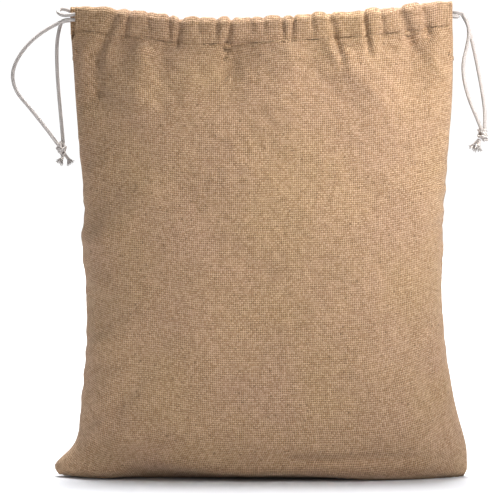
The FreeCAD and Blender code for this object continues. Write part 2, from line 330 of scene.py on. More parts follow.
cotton = cotton_finish()
strands = {}
for name, route in strand_routes.items():
    line = smooth_line([(x * mm, y * mm, z * mm) for x, y, z in route])
    knot_centre = np.array(knot_centres[name.split("_")[0]])
    into_knot = line[-1] + (knot_centre - line[-1]) * np.array([[0.35], [0.6]])
    line = even_line(np.concatenate([line, into_knot]), 0.9 * mm)
    piece = tube_mesh(name + "_braid", [line], [cord_radius], 20)
    piece.data.materials.append(cotton)
    strands[name] = piece


# ---- Knots and frayed tails ------------------------------------------------------------------
# Both strands of a loop are tied together in one overhand knot. The two cut ends stand out
# below it, and their cotton has come apart into loose yarns.
def overhand(centre, tilt, toward):
    """Middle line of the doubled knot: in from above, round itself twice, out below."""
    loop, swell = 2.5 * mm, 1.45 * mm
    places = [(-0.4 * mm, 0.2 * mm, 5.6 * mm), (0.9 * mm, -0.9 * mm, 3.6 * mm)]
    for step in range(17):
        turn = math.radians(-60 + 560 * step / 16)
        climb = 2.0 * mm * math.sin(turn * 0.75 + 0.5)
        reach = loop + swell * 0.45 * math.cos(1.5 * turn)
        places.append((reach * math.cos(turn), reach * math.sin(turn), climb))
    places += [(0.6 * mm, 0.8 * mm, -3.4 * mm), (-0.2 * mm, 0.0, -5.4 * mm)]
    line = even_line(smooth_line(places), 0.45 * mm)
    x, y, z = line[:, 0] * toward, line[:, 1], line[:, 2]
    cos, sin = math.cos(tilt), math.sin(tilt)
    turned = np.stack([x * cos - z * sin, y, x * sin + z * cos], axis=1)
    return turned + np.array(centre)


def beside(line, shift):
    """A line that runs beside another, to its side."""
    _, first, _ = frames_along(line)
    return line + first * shift


knots = {}
for side, tilt, toward in (("left", 0.25, -1), ("right", 0.55, 1)):
    middle = overhand(knot_centres[side], tilt, toward)
    pair = [beside(middle, 1.35 * mm), beside(middle, -1.35 * mm)]
    knot = tube_mesh(side + "_overhand_knot", pair, [1.65 * mm, 1.65 * mm], 18)
    knot.data.materials.append(cotton)
    knots[side] = knot

tail_routes = {
    "left_front_tail": [(-191.8, -1.6, 313.8), (-191.6, -2.6, 311.2), (-193.4, -3.4, 308.6)],
    "left_back_tail": [(-190.6, 1.6, 313.8), (-188.6, 2.4, 311.0), (-186.8, 3.2, 308.4)],
    "right_front_tail": [(212.2, -1.6, 327.2), (210.6, -2.4, 324.2), (210.4, -3.2, 321.2)],
    "right_back_tail": [(211.4, 1.6, 327.8), (208.6, 2.4, 325.2), (206.6, 3.2, 322.4)],
}
draw = np.random.default_rng(7)
tails = {}
for name, route in tail_routes.items():
    line = even_line(smooth_line([(x * mm, y * mm, z * mm) for x, y, z in route]), 0.5 * mm)
    lines = [line]
    radii = [np.linspace(1.6 * mm, 1.75 * mm, len(line))]
    tangents, first, second = frames_along(line)
    for yarn in range(46):
        turn = draw.uniform(0, 2 * math.pi)
        out = math.sqrt(draw.uniform(0, 1)) * 1.5 * mm
        spread = draw.uniform(0.15, 1.0)
        away = math.cos(turn) * first[-1] + math.sin(turn) * second[-1]
        root = line[-1] - tangents[-1] * 1.2 * mm + away * out
        length = draw.uniform(3.2, 6.0) * mm
        sag = np.array([0.0, 0.0, -draw.uniform(0.2, 1.4) * mm])
        bend = away * spread * length * 0.8
        steps = np.linspace(0, 1, 7)[:, None]
        yarn_line = root + tangents[-1] * length * steps + bend * steps ** 1.6 + sag * steps ** 2
        lines.append(yarn_line)
        radii.append(np.linspace(0.3, 0.2, 7) * mm)
    piece = tube_mesh(name + "_frayed", lines, radii, 6, round_ends=False)
    piece.data.materials.append(cotton)
    tails[name] = piece

for side in ("left", "right"):
    knotted = side + "_knotted_end"
    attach(knots[side], knotted)
    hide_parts(side + "_knot")
    for lay in ("front", "back"):
        tail = tails[f"{side}_{lay}_tail"]
        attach(tail, knotted)
        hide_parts(f"{side}_{lay}_tail")
    for lay in ("front", "back"):
        name = f"{side}_{lay}_strand"
        piece = strands[name]
        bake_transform(piece)
        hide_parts(name)


# ---- Drawcords in their casings --------------------------------------------------------------
# Each cord goes through the front tunnel, round at the far slit and back through the rear one.
# The bight of the right-hand cord stands out of the left slit as a small flat loop.
rim_low, rim_rise_left, rim_rise_right = 444.0, 12.0, 16.5
mouth_half, mouth_end_y, mouth_sag = 184.0, 9.7, 18.0
tunnel_middle = 3.7
mouth_radius = (mouth_half ** 2 + mouth_sag ** 2) / (2 * mouth_sag)


def rim_height(x):
    rise = np.where(x < 0, rim_rise_left, rim_rise_right)
    return rim_low + rise * (x / mouth_half) ** 2 - 4.2 * np.exp(-((x + 60) / 65) ** 2)


def mouth_y(x, inward):
    radius = mouth_radius - inward
    return mouth_end_y + mouth_sag - mouth_radius + math.sqrt(radius ** 2 - x ** 2)


def tunnel_points(sign, drop, stations):
    return [(x, sign * mouth_y(x, tunnel_middle), rim_height(x) - drop) for x in stations]


stations = [-160, -112, -60, -8, 44, 94, 136, 162, 178]
left_exit = [(-191.9, -6.0, 441.7), (-186.5, -6.2, 444.0)]
left_bight = [(190.0, -5.5, 446.6), (190.6, 5.5, 446.2)]
right_exit = [(192.9, -6.0, 450.0), (187.0, -6.2, 452.8)]
right_bight = [(-190.0, -6.4, 446.8), (-196.2, -4.4, 449.4), (-196.6, 3.8, 453.4),
               (-190.4, 6.2, 454.6)]
runs = {
    "left": (left_exit, 11.5, stations, left_bight),
    "right": (right_exit, 6.5, [-station for station in stations], right_bight),
}
for side, (way_out, drop, places, bight) in runs.items():
    route = way_out + tunnel_points(-1, drop, places) + bight
    route += tunnel_points(1, drop, places[::-1]) + [(x, -y, z) for x, y, z in way_out[::-1]]
    line = even_line(smooth_line([(x * mm, y * mm, z * mm) for x, y, z in route], 14), 1.2 * mm)
    piece = tube_mesh(side + "_drawcord_braid", [line], [cord_radius], 20)
    piece.data.materials.append(cotton)
    turn = Vector(turning_points[side])
    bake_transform(piece)
    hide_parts(side + "_drawcord")


# ---- Jute cloth: front and back --------------------------------------------------------------
# Two pieces of 1.1 mm jute hessian, each one face of the pouch with its half of the base. They
# are sewn with the right sides together and turned, so that 12 mm of each is inside along the
# sides and the bottom. Over the drawcords each is folded inward and down as a hem.
cloth = 1.1
fold_radius = 3.1
stitch_drop = 23.8
slit_bottom = 410.0
columns = 244
wall_rows = 146
flat_width = 402.0
seam_allowance = 12.0
slit_turning = 2.4
warp_pitch = 1.95
weft_pitch = 2.1

# Along the middle from the bottom seam up: distance, height, half depth, squareness, roundness.
middle_line = np.array([
    (0, 0.7, 0.7, 2.6, 0.80), (22, 0.7, 22, 2.6, 0.80), (38, 0.8, 38, 2.6, 0.80),
    (44, 2.0, 44, 2.6, 0.78), (49, 5.0, 48, 2.7, 0.76), (55, 10, 51, 2.7, 0.72),
    (66, 21, 53.6, 2.7, 0.66), (76, 31, 55.2, 2.7, 0.61), (105, 60, 57.5, 2.7, 0.55),
    (140, 95, 59, 2.7, 0.52), (185, 140, 59.3, 2.7, 0.50), (245, 200, 57.8, 2.6, 0.50),
    (325, 280, 52, 2.5, 0.50), (397, 350, 41, 2.4, 0.47), (454, 405, 30.5, 2.2, 0.45),
    (469, 420.2, 28, 2.2, 0.43)], float)
# The side seams as the pouch stands: height, left half width, right half width.
side_line = np.array([
    (0.7, 196, 196.5), (5, 199.5, 199.5), (10, 200.3, 200.4), (16, 195.5, 200.2), (28, 184, 199.6),
    (42, 177.6, 196.4), (57, 176.2, 192), (72, 174.8, 188.2), (100, 171.8, 183), (129, 168.2, 177.8),
    (158, 168.4, 176), (187, 169.6, 175), (222, 173, 175.6), (232, 173.4, 175.5), (244, 171.2, 176),
    (274, 171.9, 177.6), (304, 174.5, 180.4), (347, 178.4, 184.2), (391, 181.4, 185.4),
    (420.2, 183.6, 185.1)], float)
# How far the front's lower edge stands off the floor: place across, lift.
front_lift = np.array([
    (-200, 2), (-160, 2), (-142, 4), (-120, 13), (-100, 13), (-75, 10), (-45, 7), (0, 6), (60, 4.5),
    (100, 1), (129, 0), (160, 0), (200, 0)], float)
# Half widths of the front's and the back's hems at the two slits.
hem_halves = {"front": (178.6, 184.0), "back": (184.2, 181.8)}


def eased(at, places, values):
    """A smooth line through given values at given places."""
    slopes = np.gradient(values, places)
    index = np.clip(np.searchsorted(places, at) - 1, 0, len(places) - 2)
    span = places[index + 1] - places[index]
    t = np.clip((at - places[index]) / span, 0, 1)
    start, end = values[index], values[index + 1]
    first, last = slopes[index] * span, slopes[index + 1] * span
    return ((2 * t - 3) * t * t + 1) * start + ((t - 2) * t + 1) * t * first \
        + (3 - 2 * t) * t * t * end + (t - 1) * t * t * last


def ramp(at, start, end):
    t = np.clip((at - start) / (end - start), 0, 1)
    return t * t * (3 - 2 * t)


def plan_line(x, left, right, depth, squareness, roundness, hem_share):
    """Half depths of the pouch in plan at some x; hem_share turns it into the hem's arc."""
    share = np.clip(np.abs(np.where(x < 0, x / left, x / right)), 0, 1)
    wall = depth * (1 - share ** squareness) ** roundness
    arc = np.sqrt((mouth_radius - cloth / 2) ** 2 - x ** 2) + mouth_end_y + mouth_sag - mouth_radius
    return wall * (1 - hem_share) + arc * hem_share


def row_points(side, distance):
    """Columns evenly spaced over the cloth at one distance from the bottom seam."""
    height, depth, squareness, roundness = [
        eased(distance, middle_line[:, 0], middle_line[:, k]) for k in (1, 2, 3, 4)]
    left, right = [eased(height, side_line[:, 0], side_line[:, k]) for k in (1, 2)]
    hem_share = float(ramp(height, slit_bottom - 6, 420))
    opened = float(ramp(height, slit_bottom - 3, 420))
    left += (hem_halves[side][0] - left) * opened
    right += (hem_halves[side][1] - right) * opened
    across = np.sin(np.linspace(-1, 1, 801) * math.pi / 2)
    x = np.where(across < 0, across * left, across * right)
    y = plan_line(x, left, right, depth, squareness, roundness, hem_share)
    y = np.maximum(y, 0.65)
    along = np.concatenate([[0], np.cumsum(np.hypot(np.diff(x), np.diff(y)))])
    places = np.linspace(0, along[-1], columns)
    return np.interp(places, along, x), np.interp(places, along, y), np.full(columns, height)


def resampled(path, count):
    """Each column's path (path, column, xyz) with count points, closer together at its top."""
    steps = np.linalg.norm(np.diff(path, axis=0), axis=2)
    along = np.concatenate([np.zeros((1, path.shape[1])), np.cumsum(steps, axis=0)])
    even = np.zeros((count, path.shape[1], 3))
    for column in range(path.shape[1]):
        share = np.linspace(0, 1, count)
        share = 1.22 * share - 0.22 * share ** 4
        places = share * along[-1, column]
        for k in range(3):
            even[:, column, k] = np.interp(places, along[:, column], path[:, column, k])
    return even


def waves(x, z, seed, count, longest, shortest):
    """Low swells in every direction, between -1 and 1 or so."""
    draws = np.random.default_rng(seed)
    total = np.zeros_like(x)
    for _ in range(count):
        length = shortest * (longest / shortest) ** draws.uniform()
        turn = draws.uniform(0, math.pi)
        shift = draws.uniform(0, 2 * math.pi)
        total += np.sin((x * math.cos(turn) + z * math.sin(turn)) * 2 * math.pi / length + shift)
    return total / math.sqrt(count)


def folds(x, z, creases):
    """Relief of creases: (top x, top z, bottom x, bottom z, rise, width, fade at the ends)."""
    total = np.zeros_like(x)
    for x1, z1, x2, z2, rise, width, fade in creases:
        length = math.hypot(x2 - x1, z2 - z1)
        along = ((x - x1) * (x2 - x1) + (z - z1) * (z2 - z1)) / length
        aside = ((x - x1) * (z2 - z1) - (z - z1) * (x2 - x1)) / length
        ends = ramp(along, -fade, fade * 0.3) * (1 - ramp(along, length - fade * 0.6, length + fade))
        widening = width * (1 + 0.6 * np.clip(along / length, 0, 1.4))
        total += rise * ends * np.exp(-(aside / widening) ** 2)
    return total


# Gathers at the drawn mouth, then the slow folds of the face, as it hangs and stands.
gathers = {
    "front": [
        (-141, 444, -158, 408, -4.2, 4.2, 14), (-126, 448, -130, 428, -4.4, 2.0, 10),
        (-109, 446, -108, 432, -1.8, 2.2, 9), (-88, 445, -88, 425, -3.4, 1.9, 9),
        (-76, 447, -80, 420, -4.4, 2.1, 11), (-59, 445, -60, 430, -1.6, 2.2, 8),
        (-42, 445, -43, 426, -2.4, 2.0, 10), (-27, 448, -34, 414, -4.6, 2.3, 13),
        (-9, 444, -10, 430, -1.4, 2.0, 8), (2, 444, 3, 430, -1.8, 2.2, 8),
        (20, 444, 21, 426, -3.2, 1.9, 9), (31, 444, 29, 424, -3.2, 1.9, 9),
        (48, 444, 50, 428, -2.0, 2.0, 9), (65, 446, 77, 402, -4.8, 2.6, 15),
        (98, 448, 103, 412, -4.4, 2.2, 12), (115, 448, 117, 428, -2.2, 2.1, 9),
        (132, 453, 145, 420, -4.6, 3.6, 14), (154, 456, 161, 428, -3.8, 2.5, 11)],
    "back": [
        (-150, 448, -158, 414, -4.2, 3.2, 13), (-118, 448, -114, 420, -4.2, 2.2, 11),
        (-96, 446, -98, 425, -3.2, 2.0, 9), (-70, 446, -66, 416, -4.4, 2.4, 12),
        (-35, 445, -36, 425, -2.8, 2.0, 9), (-12, 446, -10, 414, -4.2, 2.3, 12),
        (14, 444, 13, 426, -2.4, 2.0, 9), (40, 446, 46, 410, -4.4, 2.6, 13),
        (72, 446, 70, 425, -3.2, 2.1, 9), (92, 448, 96, 416, -4.0, 2.3, 11),
        (120, 450, 118, 424, -3.2, 2.2, 10), (146, 454, 154, 416, -4.6, 3.4, 14)],
}
face_folds = {
    "front": [
        (-31, 418, -33, 388, -4.5, 8, 18), (-163, 408, -158, 366, -5.0, 9, 20),
        (-117, 408, -119, 352, 4.5, 12, 20), (143, 420, 146, 378, -6.0, 13, 22),
        (76, 412, 92, 380, 4.5, 10, 18), (-60, 415, -66, 380, 2.5, 12, 20),
        (110, 415, 112, 350, 3.0, 14, 30), (20, 410, 24, 340, 2.5, 18, 30),
        (185, 60, 120, 190, -3.5, 13, 40), (150, 40, 60, 150, 3.0, 16, 40),
        (-150, 55, -196, 10, 5.0, 7, 14), (-118, 96, -168, 36, -3.5, 9, 22),
        (-60, 130, -150, 210, 2.5, 16, 40), (28, 21, 193, 22, -3.0, 3.6, 14),
        (128, 4, 205, 34, 3.0, 7, 12), (-170, 225, -120, 245, 2.0, 6, 16),
        (-168, 120, -110, 150, 2.5, 9, 26), (90, 215, 150, 260, 2.5, 14, 34)],
    "back": [
        (-90, 415, -80, 360, 4.0, 12, 20), (60, 416, 52, 370, -4.0, 10, 20),
        (150, 412, 158, 350, -4.5, 11, 22), (-140, 414, -150, 372, -4.5, 10, 20),
        (-185, 50, -110, 180, -3.5, 13, 40), (160, 36, 70, 160, 3.5, 16, 40),
        (-60, 28, -180, 26, -2.5, 4, 14), (10, 400, 6, 330, 3.0, 14, 30)],
}


def cloth_grid(side):
    """The cloth's middle surface (row, column, xyz) in mm, with its place in the flat cloth."""
    distances = np.linspace(0, middle_line[-1, 0], 320)
    wall = np.array([np.stack(row_points(side, distance), axis=1) for distance in distances])
    x, height = wall[..., 0], wall[..., 2]
    wall[..., 2] += (rim_height(x) - rim_low) * ramp(height, 90, 420)
    if side == "front":
        lift = eased(np.clip(x, -200, 200), front_lift[:, 0], front_lift[:, 1])
    else:
        lift = 3.0 + 2.5 * np.sin(x / 46.0 + 1.0)
    under = ramp(wall[..., 1], 8, 44) * (1 - ramp(height, 12, 60))
    wall[..., 2] += lift * under
    ear = ramp(-x, 150, 198) * (1 - ramp(height, 8, 40))
    wall[..., 2] += 1.5 * ear
    wall = resampled(wall, wall_rows)

    top = wall[-1]
    rim = rim_height(top[:, 0])

    def hem_points(inward, drop):
        x = top[:, 0]
        radius = mouth_radius - inward
        y = mouth_end_y + mouth_sag - mouth_radius + np.sqrt(radius ** 2 - x ** 2)
        return np.stack([x, y, rim - drop], axis=1)

    half = cloth / 2
    outer = [hem_points(half + 1.3 * math.exp(-((stitch_drop - drop) / 3.5) ** 2), drop)
             for drop in np.linspace(stitch_drop - 1.2, fold_radius, 18)]
    fold = [hem_points(half + fold_radius * (1 - math.cos(turn)), fold_radius * (1 - math.sin(turn)))
            for turn in np.linspace(0.25, math.pi - 0.25, 9)]
    inner_depth = half + 2 * fold_radius
    pinched = half + 1.3 + cloth + 0.1
    inner = [hem_points(inner_depth + (pinched - inner_depth) * float(ramp(drop, 14.5, stitch_drop)),
                        drop) for drop in np.linspace(fold_radius, stitch_drop + 2.6, 16)]
    fin = []
    for rise in np.linspace(12.5, 0.7, 6):
        line = wall[0].copy()
        line[:, 2] += rise
        line[:, 0] *= 1 - 0.004 * rise
        fin.append(line)
    grid = np.concatenate([np.array(fin), wall, np.array(outer), np.array(fold), np.array(inner)])
    kinds = np.concatenate([np.full(len(fin), 0), np.full(len(wall), 1), np.full(len(outer), 2),
                            np.full(len(fold), 3), np.full(len(inner), 4)])
    if side == "front":
        grid[..., 1] *= -1
    return grid, kinds


def outward_normals(grid, side):
    along = np.gradient(grid, axis=0)
    across = np.gradient(grid, axis=1)
    normals = np.cross(across, along)
    normals /= np.linalg.norm(normals, axis=2)[..., None] + 1e-9
    return normals if side == "front" else -normals


def add_relief(grid, kinds, side):
    """Gathers, slow folds and small unevenness, pushed out along the cloth's own normals."""
    normals = outward_normals(grid, side)
    x, z = grid[..., 0], grid[..., 2]
    rim = rim_height(x)
    below = rim - z
    seed = 3 if side == "front" else 11
    ends = np.minimum(x + hem_halves[side][0], hem_halves[side][1] - x)
    near_end = ramp(ends, 2, 22)
    puff = 3.6 * np.exp(-(np.clip(below - 12, 0, None) / 20) ** 2)
    puff *= 1 + 0.3 * waves(x, z * 0.2, seed + 1, 6, 44, 24)
    gather = 1.15 * folds(x, z, gathers[side])
    hem = puff + gather
    kept = np.where(hem > 0.4, hem, 0.4 + (hem - 0.4) * 0.3)
    kept = np.maximum(kept, -0.5)
    in_hem = 1 - ramp(below, 15, 24)
    hem = kept * in_hem + hem * (1 - in_hem)
    under_hem = np.exp(-np.abs(below - 34) / 26) * (1 - in_hem)
    hem += 1.5 * waves(x, z * 0.22, seed + 2, 9, 60, 24) * under_hem
    slow = 1.25 * folds(x, z, face_folds[side]) + 1.3 * waves(x, z, seed, 26, 140, 40)
    small = 0.34 * waves(x, z, seed + 5, 30, 26, 11)
    quiet = ramp(z, 3, 30) * ramp(below, 4, 30)
    relief = (hem + slow * quiet) * near_end + small * quiet * ramp(ends, 2, 10)
    gap = np.abs(x) - 150
    seam = 0.7 * waves(x * 0.1, z, seed + 9, 9, 40, 14) * ramp(gap, 4, 20) * quiet
    relief += seam * ramp(ends, 0.5, 5) * (1 - ramp(ends, 9, 20))
    inside = kinds == 4
    relief[inside] = 0.5 * np.clip(kept[inside], 0, None) * near_end[inside]
    over = kinds == 3
    relief[over] = 0.55 * kept[over] * near_end[over]
    relief[kinds == 0] = 0
    moved = grid + normals * relief[..., None]
    edge_wave = 0.8 * waves(x, np.zeros_like(x), seed + 3, 8, 70, 20) + 0.28 * kept
    moved[..., 2] += edge_wave * (1 - ramp(below, 4, 20)) * near_end * (kinds >= 2)[:, None]
    return moved


def add_side_allowances(grid, kinds, side):
    """Turns the cloth in at both ends: seam allowance below the slit, narrow hem beside it."""
    normals = outward_normals(grid, side)
    sign = -1 if side == "front" else 1
    parts = {}
    for index, end in ((0, -1), (-1, 1)):
        edge = grid[:, index]
        inner = grid[:, 2 if index == 0 else -3]
        along = inner - edge
        along /= np.linalg.norm(along, axis=1)[:, None]
        inward = -normals[:, 2 if index == 0 else -3]
        at_slit = ramp(edge[:, 2], slit_bottom - 6, slit_bottom + 4)
        at_slit[kinds >= 2] = 1
        in_hem = ramp(edge[:, 2], slit_bottom + 4, slit_bottom + 12)
        in_hem[kinds >= 2] = 1
        reach = seam_allowance * (1 - in_hem) + slit_turning * in_hem
        turned = []
        for share in (0.0, 0.12, 0.3, 0.65, 1.0):
            seam = edge.copy()
            seam[:, 0] -= end * (0.9 + share * 11.5)
            seam[:, 1] = sign * 0.68
            tucked = cloth * (0.6 if share == 0 else 1.04)
            folded = edge + along * (share * reach)[:, None] + inward * tucked
            turned.append(seam * (1 - at_slit)[:, None] + folded * at_slit[:, None])
        parts[end] = turned
    left = np.stack(parts[-1][::-1], axis=1)
    right = np.stack(parts[1], axis=1)
    return np.concatenate([left, grid, right], axis=1)


def cloth_piece(name, side):
    grid, kinds = cloth_grid(side)
    grid = add_relief(grid, kinds, side)
    full = add_side_allowances(grid, kinds, side)
    rows, across = full.shape[:2]
    middle_steps = np.linalg.norm(np.diff(full[:, across // 2], axis=0), axis=1)
    steps_up = np.concatenate([[0], np.cumsum(middle_steps)])
    steps_over = np.linspace(0, 1, columns) * flat_width
    allowance = np.array([11.5, 7.5, 3.5, 1.4, 0.5])
    flat_u = np.concatenate([-allowance, steps_over, flat_width + allowance[::-1]])
    faces = []
    for row in range(rows - 1):
        start = row * across
        for column in range(across - 1):
            a = start + column
            quad = (a, a + 1, a + across + 1, a + across)
            faces.append(quad if side == "front" else quad[::-1])
    mesh = bpy.data.meshes.new(name)
    mesh.from_pydata((full.reshape(-1, 3) * mm).tolist(), [], faces)
    corners = np.zeros(len(mesh.loops), np.int32)
    mesh.loops.foreach_get("vertex_index", corners)
    lay = np.stack([flat_u[corners % across], steps_up[corners // across]], axis=1)
    layer = mesh.uv_layers.new(name="lay")
    layer.data.foreach_set("uv", lay.astype(np.float32).ravel())
    mesh.polygons.foreach_set("use_smooth", [True] * len(mesh.polygons))
    piece = bpy.data.objects.new(name, mesh)
    scene.collection.objects.link(piece)
    shell = piece.modifiers.new("thickness", "SOLIDIFY")
    shell.thickness = cloth * mm
    shell.offset = 0.0
    shell.use_even_offset = False
    bpy.context.view_layer.objects.active = piece
    piece.select_set(True)
    bpy.ops.object.modifier_apply(modifier="thickness")
    piece.select_set(False)
    lay_out_for_bake(piece.data, len(faces), lay, flat_u, steps_up)
    return piece, full, kinds


def lay_out_for_bake(mesh, shell_faces, lay, flat_u, steps_up):
    """Outer face over most of the map, inner face in a band above it, cut edges in a strip."""
    read = np.zeros(len(mesh.loops) * 2, np.float32)
    mesh.uv_layers["lay"].data.foreach_get("uv", read)
    read = read.reshape(-1, 2)
    starts = np.zeros(len(mesh.polygons), np.int32)
    totals = np.zeros(len(mesh.polygons), np.int32)
    mesh.polygons.foreach_get("loop_start", starts)
    mesh.polygons.foreach_get("loop_total", totals)
    face_of = np.repeat(np.arange(len(mesh.polygons)), totals)
    u = 0.004 + 0.992 * (read[:, 0] - flat_u[0]) / (flat_u[-1] - flat_u[0])
    v = read[:, 1] / steps_up[-1]
    placed = np.stack([u, 0.004 + 0.836 * v], axis=1)
    inner = (face_of >= shell_faces) & (face_of < 2 * shell_faces)
    placed[inner, 1] = 0.848 + 0.125 * v[inner]
    edge_faces = np.arange(2 * shell_faces, len(mesh.polygons))
    width = 0.992 / max(1, len(edge_faces))
    for order, face in enumerate(edge_faces):
        box = ((0, 0), (1, 0), (1, 1), (0, 1))
        for corner in range(totals[face]):
            across, up = box[corner % 4]
            placed[starts[face] + corner] = (0.004 + (order + 0.9 * across) * width, 0.98 + 0.012 * up)
    layer = mesh.uv_layers.new(name="OFBake")
    layer.data.foreach_set("uv", placed.astype(np.float32).ravel())


def jute_finish():
    """Plain-woven jute: thick uneven yarns over and under, open at the corners, dry and hairy; painted
    shade darkens the hollows of the weave and a painted highlight lifts the yarn crowns.
    """
    material = bpy.data.materials.new("jute_hessian")
    material.use_nodes = True
    tree = material.node_tree
    link = tree.links.new
    shader = tree.nodes["Principled BSDF"]
    shader.inputs["Roughness"].default_value = 0.95
    shader.inputs["Specular IOR Level"].default_value = 0.15
    shader.inputs["Sheen Weight"].default_value = 0.12
    shader.inputs["Sheen Roughness"].default_value = 0.6
    lay = wire(tree, "ShaderNodeUVMap", uv_map="lay")
    place = tree.nodes.new("ShaderNodeTexCoord")

    drift = wire(tree, "ShaderNodeTexNoise", Scale=0.055, Detail=2.0)
    link(lay.outputs[0], drift.inputs["Vector"])
    sway = wire(tree, "ShaderNodeVectorMath", operation="MULTIPLY_ADD")
    link(drift.outputs["Color"], sway.inputs[0])
    sway.inputs[1].default_value = (2.2, 2.2, 0)
    link(lay.outputs[0], sway.inputs[2])
    split = tree.nodes.new("ShaderNodeSeparateXYZ")
    link(sway.outputs[0], split.inputs[0])
    warp_at = maths(tree, "MULTIPLY", split.outputs["X"], 1 / warp_pitch)
    weft_at = maths(tree, "MULTIPLY", split.outputs["Y"], 1 / weft_pitch)
    warp_number = maths(tree, "FLOOR", warp_at)
    weft_number = maths(tree, "FLOOR", weft_at)
    warp_across = maths(tree, "SUBTRACT", maths(tree, "FRACT", warp_at), 0.5)
    weft_across = maths(tree, "SUBTRACT", maths(tree, "FRACT", weft_at), 0.5)

    def yarn_noise(number, along, stretch, salt):
        spot = tree.nodes.new("ShaderNodeCombineXYZ")
        link(maths(tree, "ADD", maths(tree, "MULTIPLY", number, 7.31), salt), spot.inputs[0])
        link(maths(tree, "MULTIPLY", along, stretch), spot.inputs[1])
        noise = wire(tree, "ShaderNodeTexNoise", noise_dimensions="2D", Scale=1.0, Detail=1.0)
        link(spot.outputs[0], noise.inputs["Vector"])
        return noise.outputs["Fac"]

    warp_slub = yarn_noise(warp_number, weft_at, 0.11, 0.0)
    weft_slub = yarn_noise(weft_number, warp_at, 0.09, 31.7)
    warp_tone = yarn_noise(warp_number, weft_at, 0.55, 77.1)
    weft_tone = yarn_noise(weft_number, warp_at, 0.5, 113.9)

    def yarn_height(across, slub):
        wide = maths(tree, "ADD", maths(tree, "MULTIPLY", slub, 0.34), 0.31)
        share = maths(tree, "DIVIDE", across, wide)
        bow = maths(tree, "SUBTRACT", 1.0, maths(tree, "MULTIPLY", share, share))
        return maths(tree, "MAXIMUM", bow, 0.0)

    warp_round = yarn_height(warp_across, warp_slub)
    weft_round = yarn_height(weft_across, weft_slub)
    crossing = maths(tree, "ABSOLUTE", maths(tree, "ADD", warp_number, weft_number))
    parity = maths(tree, "MODULO", crossing, 2.0)
    bend_warp = maths(tree, "COSINE", maths(tree, "MULTIPLY", weft_across, math.pi))
    bend_weft = maths(tree, "COSINE", maths(tree, "MULTIPLY", warp_across, math.pi))
    turn = maths(tree, "SUBTRACT", maths(tree, "MULTIPLY", parity, 2.0), 1.0)
    warp_lift = maths(tree, "MULTIPLY", maths(tree, "MULTIPLY", turn, bend_warp), 0.5)
    weft_lift = maths(tree, "MULTIPLY", maths(tree, "MULTIPLY", turn, bend_weft), -0.5)
    warp_top = maths(tree, "MULTIPLY", warp_round, maths(tree, "ADD", warp_lift, 0.75))
    weft_top = maths(tree, "MULTIPLY", weft_round, maths(tree, "ADD", weft_lift, 0.75))
    cover = maths(tree, "MAXIMUM", warp_top, weft_top)
    warp_shows = maths(tree, "GREATER_THAN", warp_top, weft_top)

    fibres = wire(tree, "ShaderNodeTexNoise", Scale=1600.0, Detail=2.0)
    link(place.outputs["Object"], fibres.inputs["Vector"])
    height = maths(tree, "ADD", cover, maths(tree, "MULTIPLY", fibres.outputs["Fac"], 0.22))
    bump = wire(tree, "ShaderNodeBump", Strength=0.8, Distance=0.00055)
    link(height, bump.inputs["Height"])
    link(bump.outputs[0], shader.inputs["Normal"])

    broad = wire(tree, "ShaderNodeTexNoise", Scale=0.011, Detail=3.0)
    link(lay.outputs[0], broad.inputs["Vector"])
    warm = mapped(tree, broad.outputs["Fac"], 0.36, 0.64)
    golden, pinkish = (0.432, 0.275, 0.149, 1), (0.430, 0.269, 0.160, 1)
    ground = blended(tree, warm, golden, pinkish)
    # Each yarn's own random tone, with painted light on top: weft crossings are painted a little lighter
    # and warp crossings a little darker, as light from above falls on them.
    weft_tone_painted_lighter = maths(tree, "ADD", weft_tone, 0.05)
    warp_step_painted_darker = maths(tree, "SUBTRACT", maths(tree, "SUBTRACT", warp_tone, weft_tone_painted_lighter), 0.05)
    tone = maths(tree, "ADD", maths(tree, "MULTIPLY", warp_shows, warp_step_painted_darker), weft_tone_painted_lighter)
    spread = mapped(tree, tone, 0.30, 0.70)
    bleach_and_painted_light = blended(tree, spread, (0.80, 0.755, 0.69, 1), (1.18, 1.23, 1.31, 1))
    yarns = blended(tree, 1.0, ground, bleach_and_painted_light, "MULTIPLY")
    # Painted shade and painted highlight: the colour is darkened where the yarns are low, in the hollows
    # of the weave, and lifted on their crowns.
    shade = mapped(tree, cover, 0.12, 0.80)
    depth = blended(tree, shade, (0.26, 0.186, 0.113, 1), (1.12, 1.15, 1.20, 1))
    woven_with_painted_light = blended(tree, 1.0, yarns, depth, "MULTIPLY")
    specks = wire(tree, "ShaderNodeTexNoise", Scale=0.33, Detail=0.0)
    link(lay.outputs[0], specks.inputs["Vector"])
    dark = mapped(tree, specks.outputs["Fac"], 0.735, 0.79, 0.0, 0.62)
    spotted = blended(tree, dark, woven_with_painted_light, (0.15, 0.085, 0.04, 1))
    link(spotted, shader.inputs["Base Color"])
    return material


jute = jute_finish()
sheets = {}
for side, sheet_name in (("front", "front_cloth"), ("back", "back_cloth")):
    piece, grid, kinds = cloth_piece(sheet_name, side)
    piece.data.materials.append(jute)
    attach(piece, "pouch")
    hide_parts(side + "_panel", side + "_casing")
    sheets[side] = (grid, kinds)


# ---- Sewing thread ---------------------------------------------------------------------------
# Jute-coloured thread. One line of running stitches holds each hem down, short ones hold the
# turned edges of the slits, and the seams inside are stitched and overlocked along their edges.
thread_radius = 0.36
thread = bpy.data.materials.new("jute_thread")
thread.use_nodes = True
thread_shader = thread.node_tree.nodes["Principled BSDF"]
thread_shader.inputs["Base Color"].default_value = (0.40, 0.265, 0.15, 1)
thread_shader.inputs["Roughness"].default_value = 0.85


